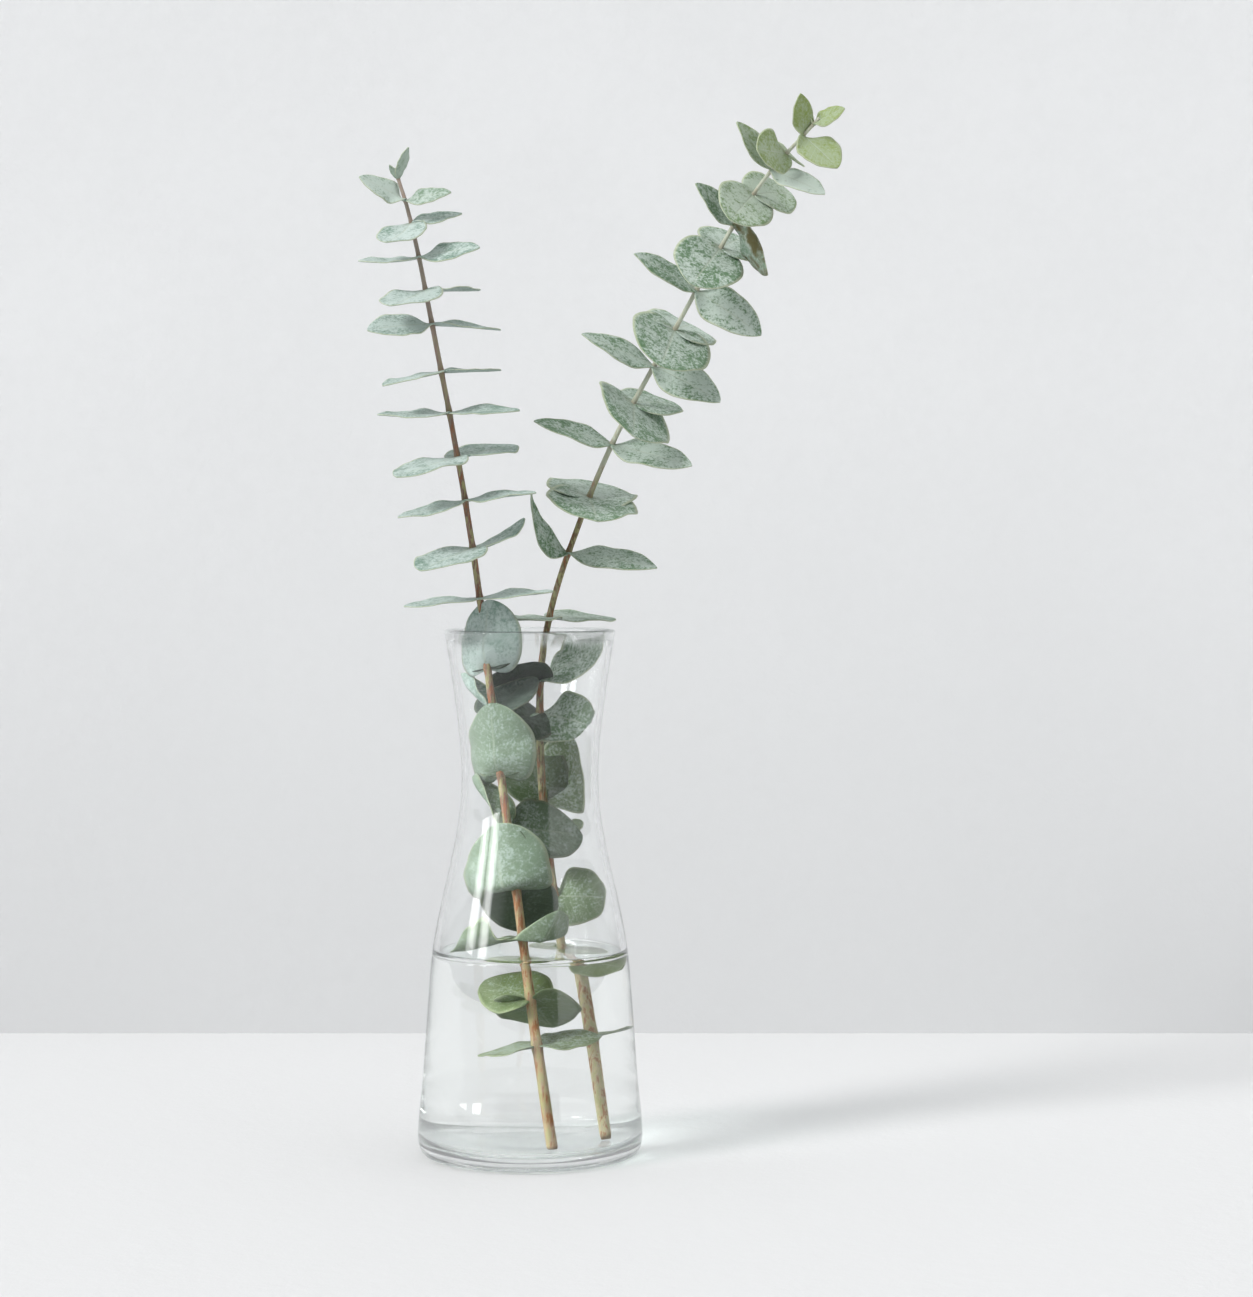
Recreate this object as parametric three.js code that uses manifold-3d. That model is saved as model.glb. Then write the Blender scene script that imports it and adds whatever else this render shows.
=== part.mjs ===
// Two leafy eucalyptus stems standing in a glass carafe vase that is part filled with water.
// Millimetres, +Z up, origin at the centre of the underside of the vase, front of the vase towards -Y.
import * as THREE from "three";
import { LoftGeometry } from "three/addons/geometries/LoftGeometry.js";
import { mergeVertices } from "three/addons/utils/BufferGeometryUtils.js";
import Module from "manifold-3d";

const wasm = await Module();
wasm.setup();

// Vase, as [radius, height] from the edge of the flat underside up the outside to the rim.
const OUTSIDE = [
  [34.5, 0], [36.6, 0.9], [37.9, 2.9], [38.5, 6.2], [38.4, 10], [34.9, 53.4],
  [33.4, 70.4], [30.2, 87.5], [27.1, 101.2], [24.5, 114.8], [23.4, 128.5],
  [24, 142], [25.6, 155.7], [27.6, 169.4], [29, 178.2], [29.2, 179.3], [28.5, 180],
];
// The same from the rim down the inside to the middle of the inner floor.
const INSIDE = [
  [27.6, 179.8], [26.9, 178.3], [25.5, 169.4], [23.5, 155.7], [21.9, 142], [21.3, 128.5],
  [22.4, 114.8], [25, 101.2], [28.1, 87.5], [31.2, 70.4], [32.7, 53.4],
  [35.7, 11], [34.4, 7.2], [30, 5], [22, 5], [0, 6.2],
];
const RIM_HEIGHT = 180;
const MOUTH_HEIGHT = 178; // where the inner wall ends and the rounding of the rim starts
const VASE_SIDES = 36;

// Water.
const WATER_HEIGHT = 70;
const GAP = 0.3; // left between pieces that touch
const HOLE_MARGIN = 0.45; // from a stem or leaf to the wall of its hole in the water
const HOLE_DEPTH = 3; // of a hole below the cut end of its stem
const WALL_FOOT = 34.4; // radius where the inner floor turns up into the wall
const WET_REACH = 25; // above the water, a leaf that grows higher up stays dry

// Stems, as centre-lines from the cut end to the tip.
const LEFT_LINE = [
  [7.5, -25, 5.8], [-1.5, -22.5, 74], [-9, -15.5, 131], [-14.8, -19.5, 180], [-21, -21, 224],
  [-31.8, -21, 282], [-38.8, -20, 316], [-44.2, -19, 334],
];
const RIGHT_LINE = [
  [21.5, -7, 5.8], [9.8, 10.5, 75], [4, 10, 125], [3.3, 8, 159], [5.6, 9, 180], [13, 9, 206],
  [28, 5, 243], [49.5, -4, 282], [75.2, -17, 325.6], [97, -24, 350.5],
];
const STEM_RADIUS_CUT = 1.75;
const STEM_RADIUS_TIP = 0.55;
const STEM_TAPER = 0.8; // power by which a stem thins
const NODE_SWELLING = 0.22; // thicker where a pair of leaves grows
const SWELLING_LOSS = 0.6; // part of the swelling that is gone at the tip
const STEM_SIDES = 8;
const CURVE_TENSION = 0.5;

// Leaves.
const LEAF_THICKNESS = 0.7;
const LEAF_STATIONS = [0, 0.08, 0.23, 0.45, 0.68, 0.87, 1]; // along the midrib, base to tip
const LEAF_BASE_HALF = 0.6; // half width where the blade meets the stem
const LEAF_TIP_HALF = 0.3;
const LEAF_CUP = 2.5; // degrees that each half turns up
const CUP_SPREAD = [0.5, 1.5]; // least and most of that
const LEAF_SAG = -5; // degrees that the tip turns down
const SAG_SPREAD = [0.4, 1.6];
const WAVE = 0.035; // turn of the edge in its wave, in radians
const WAVES = 7; // phase of the wave from base to tip
const ROLL_REACH = 0.2; // part of the length over which a blade twists
const BROAD = [0.85, 1.2]; // width for its length of a narrow leaf, and of a broad one with full lobes
const LOBE = 55; // degrees that the lobes of a broad leaf sweep back round the stem
const LOBE_REACH = 0.35; // part of the length that sweeps back
const WIDEST = [0.85, 0.66]; // power that moves the widest place to the base, narrow leaf and broad
const BLUNT = 0.5; // power of the outline at the base
const POINT = [0.58, 0.55, 0.07]; // extra power at the tip: of a narrow leaf, lost with width, and least
const SHORT_STEP = 0.6; // a step cut shorter than this part of itself turns up
const TURN_UP = 0.8; // part of a step by which it turns up
const DRY_MARGIN = 1.1; // from the inner wall to the middle of a blade above the water
const WET_MARGIN = 2.6; // the same below the water line
const SPLASH = [74, 92]; // heights between which the margin changes from wet to dry
const PARTING = { left: -4.2, right: -2 }; // planes that keep the two stems' leaves apart in the vase
const SEED = [12.9898, 43758.5453];
const PAIR_SEED = 7;
const LEAF_SEED = 3;
const RIGHT_SEED = 300;

const WELD = 1e-4; // corners closer than this are one
const HALVINGS = 40; // in the search for a height along a stem
const PASSES = 3; // of clearing a point from the glass and from the other stem
const LEAST_DEPTH = 0.1; // of a leaf that lies across the view

// A pair of leaves: height of the node, then two leaves, each with how far its tip reaches to the
// right and up, its length, width, side (-1 towards the front, 1 towards the back), twist and, where
// it stands out, the curl of its tip.
const LEFT_PAIRS = [
  [331, [3.4, 10.2, 11, 7, -1, 0], [-2.7, 4.4, 5.6, 2.4, -1, 0]],
  [323.6, [-14.6, 8.2, 17.5, 11.5, -1, -58], [15.5, 2.8, 16.5, 9.5, -1, 38]],
  [316.2, [-5.5, -11, 17.5, 16.5, -1, -20, 22], [16.5, 4.4, 18, 12, 1, 25]],
  [304.8, [-19.3, -4.6, 20.5, 15, -1, -16, 14], [20.5, 3.6, 21.8, 15.5, -1, 27]],
  [293.8, [-10, -8.2, 22, 21, -1, -15, 8], [17.7, 1.6, 20, 17, 1, 8]],
  [282.4, [-21.2, -0.8, 22.5, 18.5, -1, -30], [22.6, 0.6, 24, 18, 1, 13, -8]],
  [266.6, [-19.1, -3.8, 22, 19, -1, -8], [19.3, 2.2, 22, 18, 1, 8]],
  [252.9, [-23.3, -2.4, 24.5, 19, -1, -12, 6], [23.7, 1.6, 24.5, 19, -1, 9]],
  [238.1, [-19.5, -6, 26, 24, -1, -11], [18, 5.2, 25.5, 24, 1, 13]],
  [223.7, [-21.6, -7, 24, 19, -1, -9, 5], [23.8, 3.5, 25, 19, -1, 6]],
  [207.7, [-16.6, -6.6, 25, 24, -1, -10], [20, 0.8, 22, 17, 1, 2, 44]],
  [190.9, [-25, -2, 26, 20, -1, -4], [24.7, 3, 25.5, 20, -1, 3]],
  [167.5, [-3.5, 21.5, 23.5, 25, -1, 0], [3, 13, 20, 20, 1, 0]],
  [152.6, [-12, 13, 18.5, 11, 1, -20], [11, 12, 22, 22, 1, 0]],
  [131.7, [-8.5, 20, 25, 28, -1, 0], [4, 14, 20, 20, 1, 0]],
  [113.6, [-12, 17, 22, 15, 1, -35], [24.5, -3, 28, 24, 1, 62]],
  [93, [-17, 7, 27, 34, -1, 8], [3, -15, 21, 26, 1, 0]],
  [76.9, [-25, -4, 27, 22, 1, 0], [14, 0, 20, 20, -1, 0]],
  [56.5, [-13, 6, 20, 22, 1, -25], [6, -10, 20, 27, 1, 0]],
  [41, [-18, -3, 20, 16, 1, -6], [19, 3.5, 21, 17, 1, 18]],
];
const RIGHT_PAIRS = [
  [348.4, [9.8, 5.8, 11.8, 8, -1, 55], [-1, 4.5, 5.2, 2.4, 1, 0]],
  [344.8, [0, 13.4, 14.5, 8.5, -1, -65], [11.5, -11, 18, 15, -1, 45]],
  [339, [-10, 0, 18, 16, -1, -30], [4, 2, 17, 13, 1, 0]],
  [333.7, [-11.2, 15.7, 20.5, 13.5, -1, -25], [17.9, -7.5, 21, 14, -1, 30]],
  [325.8, [-7.5, -9, 20.5, 21, -1, -3], [14, 3.5, 21, 20, 1, 10]],
  [316, [-11.8, 14, 20.5, 13, -1, -28], [12, -16.5, 23, 14, -1, -50]],
  [308.5, [-9.7, -13, 26, 24.5, -1, 2], [8.5, 6, 22, 23, 1, -5]],
  [294.6, [-20.4, 12.6, 26, 13, -1, -22], [22.2, -14.5, 27.5, 17, -1, 42]],
  [281.6, [-4.6, -13, 26.5, 30, -1, 0], [7, 4.5, 23, 26, 1, -4]],
  [269.4, [-24, 11.2, 28, 14.5, -1, -18], [23.2, -10.6, 27.5, 18, -1, 34]],
  [257, [1, -10.5, 24, 31, -1, -8], [15, 2.5, 24, 23, 1, -6]],
  [243, [-26, 9.2, 28.5, 15, -1, -16], [27.4, -6.7, 29.5, 19, -1, 26]],
  [225, [3.5, -7.5, 24, 32, -1, 14], [3, 7, 24, 32, 1, -11]],
  [206, [-25, 5, 27.5, 11.5, -1, -58, 75], [30.8, -2.5, 32, 19, -1, 23, -8]],
  [183.6, [-13, 0.5, 22, 20, -1, 6], [22.5, 1, 27, 22, 1, 3]],
  [162, [24.5, 16.5, 30, 19, -1, 40], [-15, 3, 20, 20, -1, 35]],
  [151, [18, -2.5, 24, 22, -1, 42], [-17, -2, 23, 25, -1, -30]],
  [119, [19, 17, 29, 26, 1, 42], [-8, 26, 31, 27, 1, 0]],
  [103, [11, 11, 20, 19, -1, 30], [-9, 10, 18, 17, 1, 0]],
  [87, [20, 1.5, 22, 21, -1, 65], [-12, 4, 17, 16, 1, 0]],
  [65, [15, -1, 18, 16, -1, 28], [-10, 2, 17, 16, 1, 0]],
  [40.5, [-14, -2, 17, 15, 1, 0], [9, 2, 12, 12, 1, 8]],
];

const COLOURS = { bottle: 0xcfe3e2, water: 0xdbe7e6, branch_left: 0x8ba59a, branch_right: 0x81988a };

const vec = (p) => new THREE.Vector3(...p);
const { clamp, degToRad: radians, lerp, mapLinear } = THREE.MathUtils;
const across = (direction, axis) =>
  direction.clone().addScaledVector(axis, -direction.dot(axis)).normalize();
const draw = (n) => {
  const s = Math.sin(n * SEED[0]) * SEED[1];
  return s - Math.floor(s);
};

// A geometry as a solid that can be joined and cut.
function solid(geometry) {
  const bare = new THREE.BufferGeometry()
    .setAttribute("position", geometry.getAttribute("position"))
    .setIndex(geometry.index);
  const merged = mergeVertices(bare, WELD);
  const triVerts = new Uint32Array(merged.index.array);
  return new wasm.Manifold(
    new wasm.Mesh({ numProp: 3, vertProperties: merged.attributes.position.array, triVerts }),
  );
}

// A solid as a named mesh.
function named(made, name, extra) {
  const { vertProperties, triVerts } = made.getMesh();
  const geometry = new THREE.BufferGeometry()
    .setAttribute("position", new THREE.BufferAttribute(new Float32Array(vertProperties), 3))
    .setIndex(new THREE.BufferAttribute(new Uint32Array(triVerts), 1));
  geometry.computeVertexNormals();
  const material = new THREE.MeshStandardMaterial({ color: COLOURS[name], roughness: 0.5, ...extra });
  const mesh = new THREE.Mesh(geometry, material);
  mesh.name = name;
  return mesh;
}

// A turned solid whose profile starts and ends on the axis.
function turned(profile) {
  const points = profile.map(([r, z]) => new THREE.Vector2(r, z));
  return solid(new THREE.LatheGeometry(points, VASE_SIDES).rotateX(Math.PI / 2));
}

// Radius of the inner wall at a height.
function insideRadius(z) {
  for (let i = 1; i < INSIDE.length; i++) {
    const [r0, z0] = INSIDE[i - 1];
    const [r1, z1] = INSIDE[i];
    if (z <= z0 && z >= z1 && z0 > z1) return r0 + ((r1 - r0) * (z0 - z)) / (z0 - z1);
  }
  return Infinity;
}

// Keeps a point of a blade that grows inside the vase clear of the glass and of the other stem's leaves.
function kept(point, side) {
  if (!side) return point;
  const p = point.clone();
  const margin = mapLinear(clamp(p.z, ...SPLASH), ...SPLASH, WET_MARGIN, DRY_MARGIN);
  for (let pass = 0; pass < PASSES; pass++) {
    const most = insideRadius(Math.min(p.z, MOUTH_HEIGHT)) - margin;
    const r = Math.hypot(p.x, p.y);
    if (r > most) {
      p.x *= most / r;
      p.y *= most / r;
    }
    p.y = side === "left" ? Math.min(p.y, PARTING.left) : Math.max(p.y, PARTING.right);
  }
  return p;
}

// One step along a blade, bent along whatever it would run into.
function step(from, direction, length, side) {
  const to = kept(from.clone().addScaledVector(direction, length), side);
  const way = to.sub(from);
  if (way.length() < SHORT_STEP * length) way.z += TURN_UP * length;
  return kept(from.clone().addScaledVector(way.normalize(), length), side);
}

// The middle surface of a leaf, as rows of points from its base to its tip.
function leafRows(line, side, height, leaf, seed) {
  const [right, up, length, width, depth, twist, curl] = leaf;
  const t = parameterAt(line, height);
  const stemAxis = line.getTangent(t);
  const back = depth * Math.sqrt(Math.max(LEAST_DEPTH ** 2, length ** 2 - right ** 2 - up ** 2));
  const along = new THREE.Vector3(right, back, up).normalize();
  const face = across(stemAxis, along);
  const sideways = face.clone().cross(along);
  const phase = draw(seed) * 2 * Math.PI;
  const cup = LEAF_CUP * lerp(...CUP_SPREAD, draw(seed + 1));
  const sag = curl ?? LEAF_SAG * lerp(...SAG_SPREAD, draw(seed + 2));
  const lobe = LOBE * broadness(length, width);
  const rows = [];
  let point = line.getPoint(t);
  LEAF_STATIONS.forEach((u, i) => {
    const bend = radians(sag * u);
    const ahead = along.clone().applyAxisAngle(sideways, -bend);
    if (i) point = step(point, ahead, (u - LEAF_STATIONS[i - 1]) * length, side);
    const roll = radians(twist * Math.min(1, u / ROLL_REACH));
    const half = Math.max(halfWidth(u, length, width), u < 0.5 ? LEAF_BASE_HALF : LEAF_TIP_HALF);
    const lifted = face.clone().applyAxisAngle(sideways, -bend).applyAxisAngle(along, roll);
    const edge = (sign) => {
      const turn = radians(cup) + WAVE * Math.sin(WAVES * u + sign + phase);
      const out = sideways.clone().multiplyScalar(sign).applyAxisAngle(along, roll);
      const swept = Math.tan(radians(lobe * Math.max(0, 1 - u / LOBE_REACH)));
      const direction = out
        .multiplyScalar(Math.cos(turn))
        .addScaledVector(lifted, Math.sin(turn))
        .addScaledVector(along, -swept)
        .normalize();
      return step(point, direction, half, side);
    };
    rows.push([edge(-1), point, edge(1)]);
  });
  return rows;
}

// The same rows with the outline moved out from the middle of the leaf.
function widened(rows, by) {
  const centre = rows[Math.floor(rows.length / 2)][1];
  const away = (p) => p.clone().addScaledVector(p.clone().sub(centre).normalize(), by);
  return rows.map(([a, middle, b], i) => [away(a), i + 1 < rows.length ? middle : away(middle), away(b)]);
}

// 0 for a narrow leaf to 1 for a broad one, which clasps the stem with two lobes.
function broadness(length, width) {
  return clamp(mapLinear(width / length, ...BROAD, 0, 1), 0, 1);
}

// Half the width of a leaf at a part of its length: a blunt base, and a tip the rounder the wider the leaf.
function halfWidth(u, length, width) {
  const pointed = Math.max(POINT[2], POINT[0] - POINT[1] * (width / length));
  const power = lerp(...WIDEST, broadness(length, width));
  return (width / 2) * Math.max(0, Math.sin(Math.PI * u ** power)) ** (BLUNT + pointed * u);
}

// A closed blade around a middle surface, split into triangles alike on both faces.
function blade(rows, thickness) {
  const count = rows.length;
  const columns = rows[0].length;
  const faces = [[], []];
  rows.forEach((row, i) =>
    row.forEach((point, j) => {
      const ahead = rows[Math.min(i + 1, count - 1)][j].clone().sub(rows[Math.max(i - 1, 0)][j]);
      const beside = row[Math.min(j + 1, columns - 1)].clone().sub(row[Math.max(j - 1, 0)]);
      const normal = ahead.cross(beside).normalize();
      faces[0].push(point.clone().addScaledVector(normal, thickness / 2));
      faces[1].push(point.clone().addScaledVector(normal, -thickness / 2));
    }),
  );
  const total = count * columns;
  const at = (i, j, face) => face * total + i * columns + j;
  const index = [];
  const quad = (a, b, c, d) => index.push(a, b, c, a, c, d);
  for (let i = 0; i + 1 < count; i++)
    for (let j = 0; j + 1 < columns; j++) {
      quad(at(i, j, 0), at(i + 1, j, 0), at(i + 1, j + 1, 0), at(i, j + 1, 0));
      const [a, b, c, d] = [at(i, j, 1), at(i + 1, j, 1), at(i + 1, j + 1, 1), at(i, j + 1, 1)];
      index.push(a, c, b, a, d, c);
    }
  const edge = [];
  for (let j = 0; j < columns; j++) edge.push([0, j]);
  for (let i = 1; i < count; i++) edge.push([i, columns - 1]);
  for (let j = columns - 2; j >= 0; j--) edge.push([count - 1, j]);
  for (let i = count - 2; i > 0; i--) edge.push([i, 0]);
  edge.forEach(([i, j], k) => {
    const [m, n] = edge[(k + 1) % edge.length];
    quad(at(i, j, 0), at(m, n, 0), at(m, n, 1), at(i, j, 1));
  });
  const positions = faces.flat().flatMap((p) => p.toArray());
  return solid(
    new THREE.BufferGeometry()
      .setAttribute("position", new THREE.Float32BufferAttribute(positions, 3))
      .setIndex(index),
  );
}

// Where a centre-line reaches a height.
function parameterAt(line, height) {
  let low = 0;
  let high = 1;
  for (let i = 0; i < HALVINGS; i++) {
    const middle = (low + high) / 2;
    if (line.getPoint(middle).z < height) low = middle;
    else high = middle;
  }
  return low;
}

// A tapering stem with a swelling at every pair of leaves.
function stem(line, pairs, grow) {
  const nodes = pairs.map(([height]) => parameterAt(line, height)).sort((a, b) => a - b);
  const stations = [0];
  for (const t of nodes) stations.push((stations.at(-1) + t) / 2, t);
  stations.push(1);
  const sunk = grow ? HOLE_DEPTH : 0; // a hole runs out through the foot of the water
  const sections = stations.map((t, k) => {
    const swelling = k % 2 === 0 && k > 0 && t < 1 ? NODE_SWELLING * (1 - SWELLING_LOSS * t) : 0;
    const radius = lerp(STEM_RADIUS_CUT, STEM_RADIUS_TIP, t ** STEM_TAPER) + swelling + grow;
    const axis = line.getTangent(t);
    const centre = line.getPoint(t).addScaledVector(axis, k ? 0 : -sunk);
    const first = across(new THREE.Vector3(1, 0, 0), axis);
    const second = axis.clone().cross(first);
    return Array.from({ length: STEM_SIDES }, (_, i) => {
      const angle = (i / STEM_SIDES) * 2 * Math.PI;
      return centre
        .clone()
        .addScaledVector(first, radius * Math.cos(angle))
        .addScaledVector(second, radius * Math.sin(angle));
    });
  });
  return solid(new LoftGeometry(sections, { capStart: true, capEnd: true }));
}

// A stem joined with its leaves; grow makes it larger all round and highest leaves out what stands above.
function branch(points, pairs, side, grow = 0, highest = Infinity) {
  const line = new THREE.CatmullRomCurve3(points.map(vec), false, "catmullrom", CURVE_TENSION);
  let whole = stem(line, pairs, grow);
  pairs.forEach(([height, ...leaves], k) => {
    if (height > highest) return;
    leaves.forEach((leaf, i) => {
      const seed = PAIR_SEED * k + LEAF_SEED * i + (side === "left" ? 0 : RIGHT_SEED);
      const rows = leafRows(line, height < RIM_HEIGHT && side, height, leaf, seed);
      whole = whole.add(blade(grow ? widened(rows, 2 * grow) : rows, LEAF_THICKNESS + 2 * grow));
    });
  });
  // The outer surface alone, without the pinholes that crossing blades leave.
  return whole.decompose().reduce((a, b) => (a.volume() > b.volume() ? a : b));
}

const bottle = turned([[0, 0], ...OUTSIDE, ...INSIDE]);

// Water fills the inside up to its level, a gap clear of the glass, with holes for what stands in it.
const filled = INSIDE.filter(([, z]) => z < WATER_HEIGHT).reverse();
const waterProfile = filled.map(([r, z]) => [Math.max(0, r - GAP), z + (r < WALL_FOOT ? GAP : 0)]);
waterProfile.push([insideRadius(WATER_HEIGHT) - GAP, WATER_HEIGHT], [0, WATER_HEIGHT]);
const wet = WATER_HEIGHT + WET_REACH;
const water = turned(waterProfile)
  .subtract(branch(LEFT_LINE, LEFT_PAIRS, "left", HOLE_MARGIN, wet))
  .subtract(branch(RIGHT_LINE, RIGHT_PAIRS, "right", HOLE_MARGIN, wet));

const eucalyptus = new THREE.Group();
eucalyptus.name = "eucalyptus_in_vase";
eucalyptus.add(
  named(bottle, "bottle", { transparent: true, opacity: 0.35, roughness: 0.05 }),
  named(water, "water", { transparent: true, opacity: 0.3, roughness: 0.05 }),
  named(branch(LEFT_LINE, LEFT_PAIRS, "left"), "branch_left"),
  named(branch(RIGHT_LINE, RIGHT_PAIRS, "right"), "branch_right"),
);

export default eucalyptus;
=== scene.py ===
import math

import bpy
import numpy as np
from bpy.props import FloatProperty, FloatVectorProperty, IntProperty, PointerProperty
from bpy.types import Operator, Panel, PropertyGroup
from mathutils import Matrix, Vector


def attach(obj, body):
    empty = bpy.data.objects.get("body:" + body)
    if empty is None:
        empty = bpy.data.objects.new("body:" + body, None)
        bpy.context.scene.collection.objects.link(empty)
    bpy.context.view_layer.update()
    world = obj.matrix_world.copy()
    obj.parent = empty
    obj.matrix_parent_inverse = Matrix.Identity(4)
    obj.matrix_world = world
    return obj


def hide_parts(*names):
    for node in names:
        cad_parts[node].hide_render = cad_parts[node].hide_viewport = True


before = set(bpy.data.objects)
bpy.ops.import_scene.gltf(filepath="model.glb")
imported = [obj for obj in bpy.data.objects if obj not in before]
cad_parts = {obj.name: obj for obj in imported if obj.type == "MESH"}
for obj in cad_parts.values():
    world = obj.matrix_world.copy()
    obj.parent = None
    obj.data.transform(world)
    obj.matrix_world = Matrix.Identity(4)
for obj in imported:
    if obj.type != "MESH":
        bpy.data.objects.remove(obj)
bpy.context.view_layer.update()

bl_info = {
    "name": "Eucalyptus in a vase",
    "version": (1, 0, 0),
    "blender": (4, 5, 0),
    "location": "View3D > Sidebar > Eucalyptus",
    "description": "Two leafy eucalyptus stems standing in a water-filled glass vase",
    "category": "Object",
}

MM = 0.001

# Vase profile in millimetres, outside from the underside up, then inside from the rim down
OUTSIDE = [
    (0, 1.5), (12, 1.45), (22, 1.0), (28, 0.3), (31.5, 0), (34.3, 0), (36.6, 0.9), (37.9, 2.9),
    (38.5, 6.2), (38.4, 10), (36.9, 26.1), (35.9, 39.7), (34.9, 53.4), (33.4, 70.4), (30.2, 87.5),
    (27.1, 101.2), (24.5, 114.8), (23.4, 128.5), (24, 142), (25.6, 155.7), (27.6, 169.4),
    (29, 178.2), (29.2, 179.3), (28.5, 180),
]
INSIDE = [
    (27.6, 179.8), (26.9, 178.3), (25.5, 169.4), (23.5, 155.7), (21.9, 142), (21.3, 128.5),
    (22.4, 114.8), (25, 101.2), (28.1, 87.5), (31.2, 70.4), (32.7, 53.4), (33.7, 39.7),
    (34.7, 26.1), (35.7, 11), (34.4, 7.2), (30, 5), (24, 5), (17, 5.3), (11, 6.1), (5, 6.9), (0, 7.1),
]
WALL_POINTS = 16  # of the inside, from the rim to the floor
MOUTH_HEIGHT = 178
RIM_HEIGHT = 180

# Stem centre-lines from the cut end to the tip
LEFT_LINE = [
    (7.5, -25, 5.8), (-1.5, -22.5, 74), (-9, -15.5, 131), (-14.8, -19.5, 180), (-21, -21, 224),
    (-31.8, -21, 282), (-38.8, -20, 316), (-44.2, -19, 334),
]
RIGHT_LINE = [
    (21.5, -7, 5.8), (9.8, 10.5, 75), (4, 10, 125), (3.3, 8, 159), (5.6, 9, 180), (13, 9, 206),
    (28, 5, 243), (49.5, -4, 282), (75.2, -17, 325.6), (97, -24, 350.5),
]

# Pairs of leaves: height of the node, then two leaves, each with the reach of its tip to the right
# and up, length, width, side (-1 front, 1 back), twist and, where it stands out, the curl of its tip
LEFT_PAIRS = [
    (331, (3.4, 10.2, 11, 7, -1, 0), (-2.7, 4.4, 5.6, 2.4, -1, 0)),
    (323.6, (-14.6, 8.2, 17.5, 11.5, -1, -58), (15.5, 2.8, 16.5, 9.5, -1, 38)),
    (316.2, (-5.5, -11, 17.5, 16.5, -1, -20, 22), (16.5, 4.4, 18, 12, 1, 25)),
    (304.8, (-19.3, -4.6, 20.5, 15, -1, -16, 14), (20.5, 3.6, 21.8, 15.5, -1, 27)),
    (293.8, (-10, -8.2, 22, 21, -1, -15, 8), (17.7, 1.6, 20, 17, 1, 8)),
    (282.4, (-21.2, -0.8, 22.5, 18.5, -1, -30), (22.6, 0.6, 24, 18, 1, 13, -8)),
    (266.6, (-19.1, -3.8, 22, 19, -1, -8), (19.3, 2.2, 22, 18, 1, 8)),
    (252.9, (-23.3, -2.4, 24.5, 19, -1, -12, 6), (23.7, 1.6, 24.5, 19, -1, 9)),
    (238.1, (-19.5, -6, 26, 24, -1, -11), (18, 5.2, 25.5, 24, 1, 13)),
    (223.7, (-21.6, -7, 24, 19, -1, -9, 5), (23.8, 3.5, 25, 19, -1, 6)),
    (207.7, (-16.6, -6.6, 25, 24, -1, -10), (20, 0.8, 22, 17, 1, 2, 44)),
    (190.9, (-25, -2, 26, 20, -1, -4), (24.7, 3, 25.5, 20, -1, 3)),
    (167.5, (-3.5, 21.5, 23.5, 25, -1, 0), (3, 13, 20, 20, 1, 0)),
    (152.6, (-12, 13, 18.5, 11, 1, -20), (11, 12, 22, 22, 1, 0)),
    (131.7, (-8.5, 20, 25, 28, -1, 0), (4, 14, 20, 20, 1, 0)),
    (113.6, (-12, 17, 22, 15, 1, -35), (24.5, -3, 28, 24, 1, 62)),
    (93, (-17, 7, 27, 34, -1, 8), (3, -15, 21, 26, 1, 0)),
    (76.9, (-25, -4, 27, 22, 1, 0), (14, 0, 20, 20, -1, 0)),
    (56.5, (-13, 6, 20, 22, 1, -25), (6, -10, 20, 27, 1, 0)),
    (41, (-18, -3, 20, 16, 1, -6), (19, 3.5, 21, 17, 1, 18)),
]
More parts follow.
